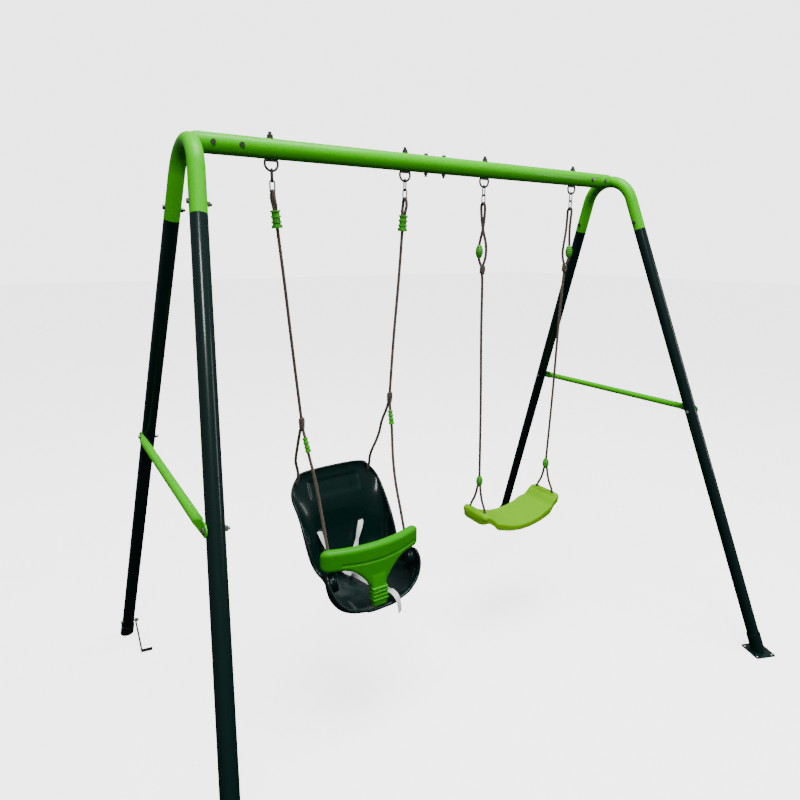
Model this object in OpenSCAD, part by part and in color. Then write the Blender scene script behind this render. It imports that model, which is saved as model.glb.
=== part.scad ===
// Garden swing set: two A-shaped end frames under a round top beam, with a baby
// bucket swing on the left and a curved plastic board swing on the right.
// Millimetres, +Z up. The beam runs along X; the open front of the seats faces -Y.
// The origin is on the ground, under the middle of the beam.

/* [Frame] */
// Height of the beam's centreline above the ground
beam_h = 1870; // [1600:1:2200]
// Outside diameter of the beam tube
beam_d = 55; // [50:0.5:64]
// Outside diameter of the legs and arches
leg_d = 45; // [40:0.5:50]
// Wall of every steel tube
wall = 1.5; // [1.2:0.1:3]
// Distance from the seam of a corner piece to the top of its arch
corner_run = 163; // [150:1:400]
// Outward tilt of each end frame, in degrees
end_tilt = 7; // [5:0.5:9]
// Lean of each leg inside its end frame, in degrees
leg_lean = 20; // [17:0.5:23]
// Bend radius of the arch, on the tube's centreline
arch_r = 113; // [95:1:140]
// Straight length of the arch below each bend
arch_straight = 127; // [105:1:180]

/* [Joints of the tubes] */
// Play on the diameter between a swaged tube end and the tube around it
slip = 0.4; // [0.2:0.1:1]
// Length of a swaged leg end inside the next tube
leg_spigot = 90; // [70:1:120]
// Length of a swaged beam end inside the next tube
beam_spigot = 130; // [120:1:140]
// Distance from the outer hanger to the seam between beam and corner piece
seam_beyond_hanger = 66; // [56:1:76]
// Place of the seam between the two beam halves
middle_seam_x = -125; // [-130:1:-110]
// Distance of the leg's middle joint from its foot, along the leg
leg_joint_up = 982; // [800:1:1100]
// Distance of the leg's joint below the brace bolt, along the leg
brace_above_joint = 50; // [35:1:60]
// Diameter of the frame bolts
bolt_d = 8; // [6:0.5:10]
// Play on the diameter of a bolt in its hole
bolt_play = 0.6; // [0.3:0.1:1.5]

/* [Braces and feet] */
// Outside diameter of a brace tube
brace_d = 26; // [20:0.5:30]
// Thickness of a brace's flattened end
brace_flat = 4; // [3:0.5:6]
// Side of a square foot plate
plate_w = 88; // [80:1:110]
// Thickness of a foot plate
plate_t = 4; // [3:0.5:8]
// Turn of a foot plate about the vertical, in degrees
plate_turn = 22; // [0:1:45]
// Radius of the screw circle in a foot plate
plate_screw_r = 47; // [46:0.5:50]
// Diameter of a screw hole in a foot plate
plate_hole_d = 9; // [6:0.5:12]
// Outside diameter of the foot sleeves
sleeve_d = 51; // [49:0.5:56]
// Length of the foot sleeves, along the leg
sleeve_l = 78; // [60:1:100]
// Length of the rear end caps, along the leg
cap_l = 52; // [40:1:58]
// Height of the anchor bolt, along the leg
anchor_up = 70; // [66:1:90]
// Length of a ground anchor from its bolt to its foot
anchor_l = 165; // [110:1:170]
// Length of the anchor's bent foot
anchor_foot = 42; // [30:1:60]
// Width and thickness of the anchor strip
anchor_strip = [16, 4];

/* [Hangers] */
// Place of the inner hanger of each swing, from the middle
hanger_in = 169; // [140:1:180]
// Distance between the two hangers of one swing
hanger_gap = 455; // [360:1:560]
// Diameter of the hanger bolt
hanger_bolt_d = 10; // [8:0.5:12]
// Radius of the hanger ring, on the wire's centreline
ring_r = 19.5; // [18:0.5:24]
// Diameter of the ring wire
ring_wire = 7; // [5:0.5:8]
// Diameter of the chain wire
link_wire = 4.5; // [3.5:0.5:5]
// Outside length of one chain link
link_l = 40; // [36:1:44]
// Diameter of the ropes
rope_d = 9; // [8:0.5:10]

/* [Swing seats] */
// Half the distance between the ropes at the baby seat's safety bar
bar_rope_x = 148; // [140:1:152]
// Half the length of the safety bar
bar_half = 185; // [172:1:190]
// Height of the safety bar's crosspiece
bar_tall = 74; // [60:1:80]
// Thickness of the safety bar's crosspiece
bar_thick = 34; // [28:1:38]
// Wall of the baby seat
seat_wall = 5; // [4:0.5:7]
// Length of the board seat
board_l = 440; // [420:1:480]
// Width of the board seat
board_w = 176; // [160:1:200]
// Thickness of the board seat
board_t = 27; // [22:1:34]
// Height of the board's upper face at the ropes
board_h = 548; // [520:1:560]
// How far the board sags between the ropes
board_sag = 70; // [50:1:80]
// Half the distance between the rope holes along the board
board_hole_x = 196; // [190:1:198]
// Half the distance between the rope holes across the board
board_hole_y = 47; // [40:1:52]

/* [Hidden] */
$fn = 48;
lime = [0.40, 0.78, 0.06];
dark_green = [0.02, 0.14, 0.11];
board_green = [0.55, 0.82, 0.06];
clip_green = [0.28, 0.62, 0.22];
steel = [0.30, 0.30, 0.31];
rope_brown = [0.36, 0.30, 0.24];
webbing = [0.93, 0.93, 0.92];
eps = 0.01;
big = 4000;

// Sides of the object: the left end is at -X, the front is at -Y.
LEFT = -1;
RIGHT = 1;
FRONT = -1;
REAR = 1;

// Places along the beam, from its middle
corner_seam_x = hanger_in + hanger_gap + seam_beyond_hanger;
arch_x = corner_seam_x + corner_run;

// Tubes
beam_bore = beam_d - 2 * wall;
beam_swage = beam_bore - slip;
leg_bore = leg_d - 2 * wall;
leg_swage = leg_bore - slip;
bolt_hole = bolt_d + bolt_play;
corner_bolts = [corner_seam_x + 25, corner_seam_x + 103];
middle_bolts = [middle_seam_x + 39, middle_seam_x + 113];
middle_spigot = 155;
shoulder_l = 3;

// Length of a leg from the end of the arch's bend to the ground
leg_total = (beam_h / cos(end_tilt) - arch_r * (1 - sin(leg_lean))) / cos(leg_lean);
leg_joint = leg_total - leg_joint_up;
brace_bolt = leg_joint - brace_above_joint;
arch_bolt = arch_straight - 32;
anchor_bolt = leg_total - anchor_up;

// Hangers
baby_x = -hanger_in - hanger_gap / 2;
board_x = hanger_in + hanger_gap / 2;
beam_under = beam_h - beam_d / 2;
ring_flat = 8;
ring_z = beam_under - ring_wire / 2 - ring_flat;
pivot_z = ring_z - ring_r;
fit_gap = 0.3;
link_r = ring_wire / 2 + fit_gap + link_wire / 2;
lower_link_r = rope_d / 2 + 0.4 + link_wire / 2;
upper_link_end = pivot_z + link_r + link_wire / 2 - link_l;
lower_link_top = upper_link_end + 2 * link_wire + 0.2;
eye_z = lower_link_top - link_l + link_wire + 0.2 + rope_d / 2;

// ---------------------------------------------------------------- placing

// The plane of one end frame: its origin on the beam's axis, -Z down the plane
module in_end_frame(side) {
    mirror([side < 0 ? 1 : 0, 0, 0])
        translate([arch_x, 0, beam_h])
            rotate([0, -end_tilt, 0])
                children();
}

// Along one leg: the origin at the end of the arch's bend, +Z down the leg
module along_leg(side, end) {
    in_end_frame(side)
        mirror([0, end < 0 ? 1 : 0, 0])
            translate([0, arch_r * cos(leg_lean), arch_r * (sin(leg_lean) - 1)])
                rotate([180 + leg_lean, 0, 0])
                    children();
}

// Everything above a level, for cutting feet flat on the ground
module above(level) {
    intersection() {
        children();
        translate([-big / 2, -big / 2, level]) cube([big, big, big]);
    }
}

module at_x(x) {
    translate([x, 0, beam_h]) children();
}

// ---------------------------------------------------------------- basic shapes

module tube(length, outside, inside) {
    difference() {
        cylinder(h = length, d = outside);
        translate([0, 0, -1]) cylinder(h = length + 2, d = inside);
    }
}

// A hole for a bolt that crosses a tube along the local X axis
module cross_hole(at, d = bolt_hole) {
    translate([0, 0, at]) rotate([0, 90, 0]) cylinder(h = 3 * leg_d, d = d, center = true);
}

// A bolt and its nut, gripping `grip`, with the head at +Z and the nut at -Z
module bolt_and_nut(grip, d, tail = 5) {
    across = 1.8 * d;
    head = 0.65 * d;
    nut = 0.8 * d;
    translate([0, 0, grip / 2]) cylinder(h = head, d = across, $fn = 6);
    translate([0, 0, -grip / 2 - nut - tail]) cylinder(h = grip + nut + tail + eps, d = d);
    translate([0, 0, -grip / 2 - nut]) difference() {
        cylinder(h = nut, d = across, $fn = 6);
        translate([0, 0, -1]) cylinder(h = nut + 2, d = d + 0.3);
    }
}

// A chain link in the XZ plane, its upper inner bend at z = 0
module chain_link(r, length, wire) {
    straight = length - wire - 2 * r;
    translate([0, 0, -r]) {
        rotate([90, 0, 0]) rotate_extrude(angle = 180) translate([r, 0]) circle(d = wire, $fn = 24);
        for (s = [-1, 1])
            translate([s * r, 0, -straight]) cylinder(h = straight, d = wire, $fn = 24);
        translate([0, 0, -straight]) rotate([90, 0, 0]) rotate([0, 0, 180])
            rotate_extrude(angle = 180) translate([r, 0]) circle(d = wire, $fn = 24);
    }
}

// A round cord swept along points
function unit(v) = v / norm(v);
function tangent(p, i) = unit(p[min(i + 1, len(p) - 1)] - p[max(i - 1, 0)]);
function flatten_on(v, t) = unit(v - (v * t) * t);
function first_side(t) = flatten_on(abs(t.z) > 0.8 ? [1, 0, 0] : [0, 0, 1], t);
function side_vectors(t) = [
    for (i = 0, v = first_side(t[0]); i < len(t); i = i + 1,
         v = i < len(t) ? flatten_on(v, t[i]) : v) v
];

module swept_cord(p, d, sides = 8) {
    n = len(p);
    t = [for (i = [0:n - 1]) tangent(p, i)];
    u = side_vectors(t);
    points = [
        for (i = [0:n - 1]) for (k = [0:sides - 1])
            p[i] + d / 2 * (cos(360 * k / sides) * u[i] + sin(360 * k / sides) * cross(t[i], u[i]))
    ];
    faces = concat(
        [[for (k = [0:sides - 1]) k]],
        [[for (k = [sides - 1:-1:0]) (n - 1) * sides + k]],
        [for (i = [0:n - 2]) for (k = [0:sides - 1])
            [i * sides + k, (i + 1) * sides + k, (i + 1) * sides + (k + 1) % sides]],
        [for (i = [0:n - 2]) for (k = [0:sides - 1])
            [i * sides + k, (i + 1) * sides + (k + 1) % sides, i * sides + (k + 1) % sides]]
    );
    polyhedron(points = points, faces = faces);
}

// A flat band swept along points; each point also gives the band's width direction
module band(p, across, width, thick) {
    n = len(p);
    t = [for (i = [0:n - 1]) tangent(p, i)];
    u = [for (i = [0:n - 1]) flatten_on(across[i], t[i])];
    w = [for (i = [0:n - 1]) cross(t[i], u[i])];
    corners = [[-1, -1], [1, -1], [1, 1], [-1, 1]];
    points = [for (i = [0:n - 1]) for (c = corners)
        p[i] + c.x * width / 2 * u[i] + c.y * thick / 2 * w[i]];
    faces = concat(
        [[0, 1, 2, 3], [for (k = [3:-1:0]) (n - 1) * 4 + k]],
        [for (i = [0:n - 2]) for (k = [0:3]) [i * 4 + k, (i + 1) * 4 + k, (i + 1) * 4 + (k + 1) % 4]],
        [for (i = [0:n - 2]) for (k = [0:3]) [i * 4 + k, (i + 1) * 4 + (k + 1) % 4, i * 4 + (k + 1) % 4]]
    );
    polyhedron(points = points, faces = faces);
}

// ---------------------------------------------------------------- beam and corners

module beam_half(inner_end, inner_is_swaged) {
    // drawn along +X from inner_end to the corner seam
    length = corner_seam_x - inner_end;
    difference() {
        union() {
            translate([inner_end, 0, 0]) rotate([0, 90, 0]) cylinder(h = length, d = beam_d);
            translate([corner_seam_x - eps, 0, 0]) rotate([0, 90, 0])
                cylinder(h = beam_spigot + eps, d = beam_swage);
            if (inner_is_swaged)
                translate([inner_end - middle_spigot, 0, 0]) rotate([0, 90, 0])
                    cylinder(h = middle_spigot + eps, d = beam_swage);
        }
        // full bore up to the shoulders, then the narrower bore of the swaged ends
        translate([inner_end + (inner_is_swaged ? shoulder_l : -1), 0, 0]) rotate([0, 90, 0])
            cylinder(h = length - shoulder_l - (inner_is_swaged ? shoulder_l : -1), d = beam_bore);
        translate([inner_end - middle_spigot - 1, 0, 0]) rotate([0, 90, 0])
            cylinder(h = length + middle_spigot + beam_spigot + 2, d = beam_swage - 2 * wall);
        for (x = [hanger_in, hanger_in + hanger_gap])
            translate([x, 0, 0]) cylinder(h = 2 * beam_d, d = hanger_bolt_d + bolt_play, center = true);
        for (x = corner_bolts)
            translate([x, 0, 0]) rotate([90, 0, 0]) cylinder(h = 2 * beam_d, d = bolt_hole, center = true);
    }
}

module middle_bolt_holes() {
    for (x = middle_bolts)
        at_x(x) cylinder(h = 2 * beam_d, d = bolt_hole, center = true);
}

module beam_left() {
    color(lime) difference() {
        mirror([1, 0, 0]) at_x(0) beam_half(-middle_seam_x, true);
        middle_bolt_holes();
    }
}

module beam_right() {
    color(lime) difference() {
        at_x(0) beam_half(middle_seam_x, false);
        middle_bolt_holes();
    }
}

// Arch and beam socket, welded into one piece
module corner(side) {
    cone = 24;
    color(lime) difference() {
        union() {
            in_end_frame(side) arch_shape(leg_d);
            mirror([side < 0 ? 1 : 0, 0, 0]) at_x(corner_seam_x) rotate([0, 90, 0]) {
                cylinder(h = arch_x - corner_seam_x - cone, d = beam_d);
                translate([0, 0, arch_x - corner_seam_x - cone - eps])
                    cylinder(h = cone, d1 = beam_d, d2 = leg_d - 2);
            }
        }
        in_end_frame(side) arch_shape(leg_bore, 1);
        mirror([side < 0 ? 1 : 0, 0, 0]) {
            at_x(corner_seam_x - 1) rotate([0, 90, 0])
                cylinder(h = beam_spigot + 2, d = beam_bore);
            for (x = corner_bolts)
                at_x(x) rotate([90, 0, 0]) cylinder(h = 2 * beam_d, d = bolt_hole, center = true);
        }
        for (end = [FRONT, REAR]) along_leg(side, end) cross_hole(arch_bolt);
    }
}

// The arch in the YZ plane: a bend, drawn a little thinner, between two straight ends
module arch_shape(d, extra = 0) {
    sweep = 180 - 2 * leg_lean;
    lap = 3;
    translate([0, 0, -arch_r]) rotate([0, -90, 0]) rotate([0, 0, -sweep / 2])
        rotate_extrude(angle = sweep) translate([arch_r, 0]) circle(d = d - 0.6);
    for (end = [0, 1]) mirror([0, end, 0])
        translate([0, arch_r * cos(leg_lean), arch_r * (sin(leg_lean) - 1)])
            rotate([180 + leg_lean, 0, 0])
                translate([0, 0, -lap]) cylinder(h = arch_straight + lap + extra, d = d);
}

// ---------------------------------------------------------------- legs and braces

module leg_upper(side, end) {
    color(dark_green) along_leg(side, end) difference() {
        union() {
            translate([0, 0, arch_straight]) cylinder(h = leg_joint - arch_straight, d = leg_d);
            translate([0, 0, arch_straight - leg_spigot + 20])
                cylinder(h = leg_spigot - 20 + eps, d = leg_swage);
        }
        translate([0, 0, arch_straight + shoulder_l]) cylinder(h = leg_joint, d = leg_bore);
        cylinder(h = leg_joint, d = leg_swage - 2 * wall);
        cross_hole(arch_bolt);
        cross_hole(brace_bolt);
    }
}

module leg_lower(side, end) {
    color(dark_green) above(plate_t + fit_gap) along_leg(side, end) difference() {
        union() {
            translate([0, 0, leg_joint]) cylinder(h = leg_total, d = leg_d);
            translate([0, 0, leg_joint - leg_spigot]) cylinder(h = leg_spigot + eps, d = leg_swage);
        }
        translate([0, 0, leg_joint + shoulder_l]) cylinder(h = leg_total + 1, d = leg_bore);
        translate([0, 0, leg_joint - leg_spigot - 1])
            cylinder(h = leg_spigot + 2, d = leg_swage - 2 * wall);
        cross_hole(brace_bolt);
        if (end == REAR) cross_hole(anchor_bolt);
    }
}

// A tube across the two legs, on their outer side, with flattened bolted ends
module brace(side) {
    drop = brace_bolt * cos(leg_lean) + arch_r * (1 - sin(leg_lean));
    reach = arch_r * cos(leg_lean) + brace_bolt * sin(leg_lean);
    round_end = reach - 62;
    flat_end = reach - 30;
    flat_h = 35;
    out = leg_d / 2 + brace_flat / 2 + 0.1;
    color(lime) in_end_frame(side) translate([out, 0, -drop]) difference() {
        union() {
            rotate([90, 0, 0]) cylinder(h = 2 * round_end, d = brace_d, center = true);
            for (end = [0, 1]) mirror([0, end, 0]) {
                hull() {
                    translate([0, round_end - 2, 0]) rotate([90, 0, 0])
                        cylinder(h = 1, d = brace_d - 1, center = true, $fn = 32);
                    translate([-brace_flat / 2, flat_end - 1, -flat_h / 2]) cube([brace_flat, 1, flat_h]);
                }
                translate([0, flat_end - 3, 0]) rotate([0, 90, 0])
                    linear_extrude(brace_flat - 0.4, center = true) {
                        translate([1 - flat_h / 2, 0]) square([flat_h - 2, reach - flat_end + 3]);
                        translate([0, reach - flat_end + 3]) circle(d = flat_h - 2);
                    }
            }
        }
        rotate([90, 0, 0]) cylinder(h = 2 * round_end - 4, d = brace_d - 2 * wall, center = true);
        for (end = [-1, 1]) translate([0, end * reach, 0]) rotate([0, 90, 0])
            cylinder(h = 3 * brace_flat, d = bolt_hole, center = true);
    }
}

// ---------------------------------------------------------------- feet

function ground_x() = arch_x + beam_h * tan(end_tilt);
function ground_y() = arch_r * cos(leg_lean) + leg_total * sin(leg_lean);

module foot_plate(side) {
    corner_r = 6;
    color(dark_green) difference() {
        union() {
            above(0) along_leg(side, FRONT)
                translate([0, 0, leg_total - sleeve_l]) cylinder(h = 2 * sleeve_l, d = sleeve_d);
            mirror([side < 0 ? 1 : 0, 0, 0]) translate([ground_x(), -ground_y(), 0])
                rotate([0, 0, -plate_turn]) linear_extrude(plate_t)
                    rounded_square(plate_w, corner_r);
        }
        above(plate_t) along_leg(side, FRONT)
            translate([0, 0, leg_total - sleeve_l - 1]) cylinder(h = 2 * sleeve_l, d = leg_d + slip);
        mirror([side < 0 ? 1 : 0, 0, 0]) translate([ground_x(), -ground_y(), -1])
            rotate([0, 0, -plate_turn]) for (a = [45:90:315])
                rotate([0, 0, a]) translate([plate_screw_r, 0, 0])
                    cylinder(h = plate_t + 2, d = plate_hole_d);
    }
}

module rounded_square(w, r) {
    square([w - 2 * r, w], center = true);
    square([w, w - 2 * r], center = true);
    for (x = [-1, 1]) for (y = [-1, 1])
        translate([x * (w / 2 - r), y * (w / 2 - r)]) circle(r = r);
}

module end_cap(side) {
    color(dark_green) difference() {
        above(0) along_leg(side, REAR)
            translate([0, 0, leg_total - cap_l]) cylinder(h = 2 * cap_l, d = sleeve_d);
        above(plate_t) along_leg(side, REAR)
            translate([0, 0, leg_total - cap_l - 1]) cylinder(h = 2 * cap_l, d = leg_d + slip);
    }
}

// The anchor lies in the plane of the end frame, from its bolt down to the ground
anchor_pad = 1;
anchor_x = -(sleeve_d / 2 + anchor_pad + anchor_strip.y);
anchor_drop = (anchor_up * cos(leg_lean) * cos(end_tilt)
    + (anchor_x - anchor_foot + anchor_strip.y) * sin(end_tilt)) / cos(end_tilt);
anchor_reach = norm([anchor_l, anchor_strip.x / 2]);
anchor_angle = asin(anchor_drop / anchor_reach) - atan(anchor_strip.x / 2 / anchor_l);

module anchor(side) {
    w = anchor_strip.x;
    t = anchor_strip.y;
    color(steel) along_leg(side, REAR) translate([anchor_x, 0, anchor_bolt])
        rotate([anchor_angle - leg_lean - 90, 0, 0])
            difference() {
                union() {
                    translate([0, -w / 2, 0]) cube([t, w, anchor_l]);
                    rotate([0, 90, 0]) cylinder(h = t, d = w);
                    translate([t - anchor_foot, -w / 2, anchor_l - t]) cube([anchor_foot, w, t]);
                }
                translate([-1, 0, 0]) rotate([0, 90, 0]) cylinder(h = t + 2, d = bolt_d + 0.1);
            }
}

module anchor_bolts() {
    inner = -anchor_x + 0.5;
    outer = leg_d / 2;
    color(steel) for (side = [LEFT, RIGHT]) along_leg(side, REAR)
        translate([(outer - inner) / 2, 0, anchor_bolt]) rotate([0, 90, 0])
            bolt_and_nut(inner + outer, bolt_d, 4);
}

// ---------------------------------------------------------------- frame bolts

module beam_bolts() {
    color(steel) {
        for (x = middle_bolts) at_x(x) bolt_and_nut(beam_d, bolt_d, 6);
        for (side = [LEFT, RIGHT]) for (x = corner_bolts)
            at_x(side * x) rotate([90, 0, 0]) bolt_and_nut(beam_d, bolt_d);
    }
}

module arch_bolts() {
    color(steel) for (side = [LEFT, RIGHT]) for (end = [FRONT, REAR])
        along_leg(side, end) translate([0, 0, arch_bolt]) rotate([0, 90, 0])
            bolt_and_nut(leg_d, bolt_d);
}

module brace_bolts() {
    grip = leg_d + brace_flat + 0.2;
    color(steel) for (side = [LEFT, RIGHT]) for (end = [FRONT, REAR])
        along_leg(side, end) translate([(brace_flat + 0.2) / 2, 0, brace_bolt]) rotate([0, 90, 0])
            bolt_and_nut(grip, bolt_d);
}

// ---------------------------------------------------------------- hangers and chains

hanger_xs = [-hanger_in - hanger_gap, -hanger_in, hanger_in, hanger_in + hanger_gap];

// A bolt through the beam with a ring below it; the ring's top is flattened on the beam
module hanger(i) {
    chord = sqrt(ring_r * ring_r - ring_flat * ring_flat);
    top = ring_flat + ring_wire / 2;
    nut_h = 8;
    color(steel) translate([hanger_xs[i], 0, ring_z]) {
        difference() {
            rotate([90, 0, 0]) rotate_extrude($fn = 96) translate([ring_r, 0]) circle(d = ring_wire);
            translate([-2 * ring_r, -ring_r, top]) cube([4 * ring_r, 2 * ring_r, 2 * ring_r]);
        }
        translate([-chord, 0, ring_flat]) rotate([0, 90, 0])
            cylinder(h = 2 * chord, d = ring_wire - 0.6);
        translate([0, 0, ring_flat]) cylinder(h = top - ring_flat + beam_d + nut_h + 9, d = hanger_bolt_d);
    }
}

module hanger_nuts() {
    washer = 1.6;
    color(steel) for (x = hanger_xs) translate([x, 0, beam_h + beam_d / 2]) {
        difference() {
            cylinder(h = washer, d = 21);
            translate([0, 0, -1]) cylinder(h = washer + 2, d = hanger_bolt_d + 0.5);
        }
        translate([0, 0, washer + 0.05]) difference() {
            cylinder(h = 8, d = 18.5, $fn = 6);
            translate([0, 0, -1]) cylinder(h = 10, d = hanger_bolt_d + 0.2);
        }
    }
}

// Two chain links: the upper one rides on the ring, the lower one holds the rope
module chain(i) {
    color(steel) translate([hanger_xs[i], 0, 0]) {
        translate([0, 0, pivot_z + link_r]) rotate([0, 0, 90]) chain_link(link_r, link_l, link_wire);
        translate([0, 0, lower_link_top - link_wire / 2])
            chain_link(lower_link_r, link_l, link_wire);
    }
}

// ---------------------------------------------------------------- parts on the ropes

// A knot: a rounded barrel on the local Z axis
module knot(length, d) {
    r = d / 2;
    translate([0, 0, -length / 2 + r]) {
        sphere(r = r);
        cylinder(h = length - 2 * r, r = r);
        translate([0, 0, length - 2 * r]) sphere(r = r);
    }
}

// A ribbed rope adjuster with a wide pocket above and a rope hole below
module ribbed_adjuster(length, core, rib, foot) {
    ribs = 4;
    pitch = (length - 5) / (ribs - 1);
    difference() {
        union() {
            translate([0, 0, -length / 2]) cylinder(h = length, d = core);
            for (i = [1:ribs - 1]) translate([0, 0, -length / 2 + i * pitch]) cylinder(h = 5, d = rib);
            translate([0, 0, -length / 2]) cylinder(h = 9, d = foot);
        }
        translate([0, 0, -length / 2 - 1]) cylinder(h = length + 2, d = rope_d + 0.6);
        translate([0, 0, -length / 2 + 14]) cylinder(h = length, d = core - 3.4);
    }
}

// An egg-shaped rope adjuster
module egg(length, d) {
    r = (length * length / 4 + d * d / 4) / d;
    bore = rope_d / 2 + 0.3;
    tip = sqrt(r * r - pow(r - d / 2 + bore + 1.5, 2));
    step = tip / 10;
    rotate_extrude() polygon(concat(
        [[bore, tip], [bore, -tip]],
        [for (i = [-10:10]) let (z = i * step, groove = abs(i) < 7 && i % 3 == 0 ? 1.2 : 0)
            [sqrt(r * r - z * z) + d / 2 - r - groove, z]]
    ));
}

// Turns the local Z axis to point from a to b and moves to their middle
module between(a, b) {
    v = b - a;
    translate((a + b) / 2) rotate([0, acos(v.z / norm(v)), atan2(v.y, v.x)]) children();
}

// ---------------------------------------------------------------- baby swing
// Every point here is measured from the swing's middle: x from baby_x, y and z as they are.

// Places along each side: [left, right]
knot_top = [[-168, 0, 1070], [168, 0, 1112]];
knot_low = [[-167, 0, 1030], [167, 0, 1072]];
clip_top = [[-163, -10, 1003], [164, -10, 1046]];
clip_low = [[-159, -26, 957], [160, -26, 1000]];
lobe_point = [-155, 562];
rear_hole = [145, 122, 788];
rear_lean = 40;
rear_play = 6;
slope = 0.352;
bar_axis = unit([0, slope, 1]);
adjuster_l = 50;
adjuster_z = 1680;
adjuster_lean = 0.085;

function baby_side(k) = k == 0 ? LEFT : RIGHT;
function hanger_dx(k) = baby_side(k) * hanger_gap / 2;
function main_x(k, z) = hanger_dx(k)
    + (knot_top[k].x - hanger_dx(k)) * (eye_z - z) / (eye_z - knot_top[k].z);
function slide_y(z) = lobe_point.x + slope * (z - lobe_point.y);

// Main rope: out of the adjuster, up round the chain link and down to the knot
function main_route(k) = [
    [main_x(k, adjuster_z - 8), -5, adjuster_z - 8],
    [main_x(k, adjuster_z + 20), -5, adjuster_z + 20],
    [main_x(k, eye_z - 42), -9, eye_z - 42],
    [hanger_dx(k), -11, eye_z - 22],
    [hanger_dx(k), -8.5, eye_z - 7],
    [hanger_dx(k), -4.5, eye_z - 1.5],
    [hanger_dx(k), 0, eye_z],
    [hanger_dx(k), 4.5, eye_z - 1.5],
    [hanger_dx(k), 8.5, eye_z - 7],
    [hanger_dx(k), 11, eye_z - 22],
    [main_x(k, eye_z - 42), 9, eye_z - 42],
    [main_x(k, adjuster_z + 20), 5, adjuster_z + 20],
    [main_x(k, adjuster_z + 4), 4.8, adjuster_z + 4],
    [main_x(k, adjuster_z - 14), 0, adjuster_z - 14],
    [main_x(k, adjuster_z - 30), 0, adjuster_z - 30],
    [main_x(k, 1400), 0, 1400],
    knot_top[k] + [0, 0, -8]
];

// Front rope: from the knot through its adjuster and the safety bar to the seat
function front_route(k) = [
    knot_low[k] + [0, -2, 8],
    clip_top[k] + [0, 0, 4],
    clip_low[k] - [0, 0, 6],
    [baby_side(k) * 152, -48, 880],
    [baby_side(k) * bar_rope_x, slide_y(800), 800],
    [baby_side(k) * bar_rope_x, slide_y(700), 700],
    [baby_side(k) * bar_rope_x, slide_y(545), 545]
];

// Rear rope: slack, from the knot to the hole in the seat's back
rear_routes = [
    [[-168, 4, 1040], [-170, 16, 1010], [-172, 34, 960], [-173, 52, 905], [-166, 62, 880],
     [-158, 76, 862], [-150, 92, 838], [-146, 106, 810], [-145, 122, 788]],
    [[168, 4, 1082], [166, 16, 1050], [156, 34, 1000], [153, 50, 950], [148, 64, 915],
     [138, 76, 880], [138, 92, 850], [142, 106, 815], [145, 122, 788]]
];

module in_baby_swing() {
    translate([baby_x, 0, 0]) children();
}

module baby_rope(k) {
    color(rope_brown) in_baby_swing() swept_cord(main_route(k), rope_d);
}

module baby_adjuster(k) {
    a = [main_x(k, adjuster_z - adjuster_l / 2), 0, adjuster_z - adjuster_l / 2];
    b = [main_x(k, adjuster_z + adjuster_l / 2), 0, adjuster_z + adjuster_l / 2];
    color(clip_green) in_baby_swing() between(a, b) ribbed_adjuster(adjuster_l, 2 * rope_d + 6, 2 * rope_d + 12, 2 * rope_d + 14);
}

module front_rope(k) {
    color(rope_brown) in_baby_swing() swept_cord(front_route(k), rope_d);
}

module front_adjuster(k) {
    color(clip_green) in_baby_swing() between(clip_low[k], clip_top[k])
        ribbed_adjuster(norm(clip_top[k] - clip_low[k]), rope_d + 6.4, rope_d + 10.5, rope_d + 10.5);
}

module rear_rope(k) {
    color(rope_brown) in_baby_swing() swept_cord(rear_routes[k], rope_d);
}

// Knots that join the ropes, and stop knots under the seat and behind its back
stop_l = 22;
stop_d = 19;

module baby_knots() {
    color(rope_brown) in_baby_swing() for (k = [0, 1]) {
        between(knot_low[k], knot_top[k]) knot(44, 19);
        translate([baby_side(k) * bar_rope_x, slide_y(534), 534])
            rotate([-atan(slope), 0, 0]) knot(stop_l, stop_d);
        translate([baby_side(k) * 145, 135, 780]) rotate([60, 0, 0]) knot(stop_l, stop_d);
    }
}

// Seat shell: for each station, the middle of the inside [y, z], then the rim [x, y, z]
stations = [
    [136, 824, 134, 128, 812],
    [130, 794, 158, 116, 784],
    [112, 755, 172, 92, 750],
    [92, 700, 171, 46, 706],
    [80, 640, 170, 4, 653],
    [70, 590, 168, -28, 602],
    [56, 540, 162, -54, 554],
    [30, 492, 152, -80, 534],
    [-10, 458, 147, -106, 546],
    [-60, 440, 154, -136, 568],
    [-110, 434, 169, -166, 573],
    [-150, 433, 170, -190, 540],
    [-182, 433, 149, -205, 494],
    [-204, 437, 108, -214, 460],
    [-220, 440, 57, -221, 448]
];
across = 8;
function section_point(s, j) =
    let (a = 90 * abs(j) / across, f = pow(sin(a), 0.75), g = 1 - pow(cos(a), 0.8))
    [sign(j) * s[2] * f, s[0] + (s[3] - s[0]) * g, s[1] + (s[4] - s[1]) * g];
inside = [for (s = stations) [for (j = [-across:across]) section_point(s, j)]];
function grid_normal(g, i, j) =
    let (a = g[min(i + 1, len(g) - 1)][j] - g[max(i - 1, 0)][j],
         b = g[i][min(j + 1, len(g[i]) - 1)] - g[i][max(j - 1, 0)])
    unit(cross(b, a));
outside = [for (i = [0:len(stations) - 1]) [for (j = [0:2 * across])
    inside[i][j] + seat_wall * grid_normal(inside, i, j)]];

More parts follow.
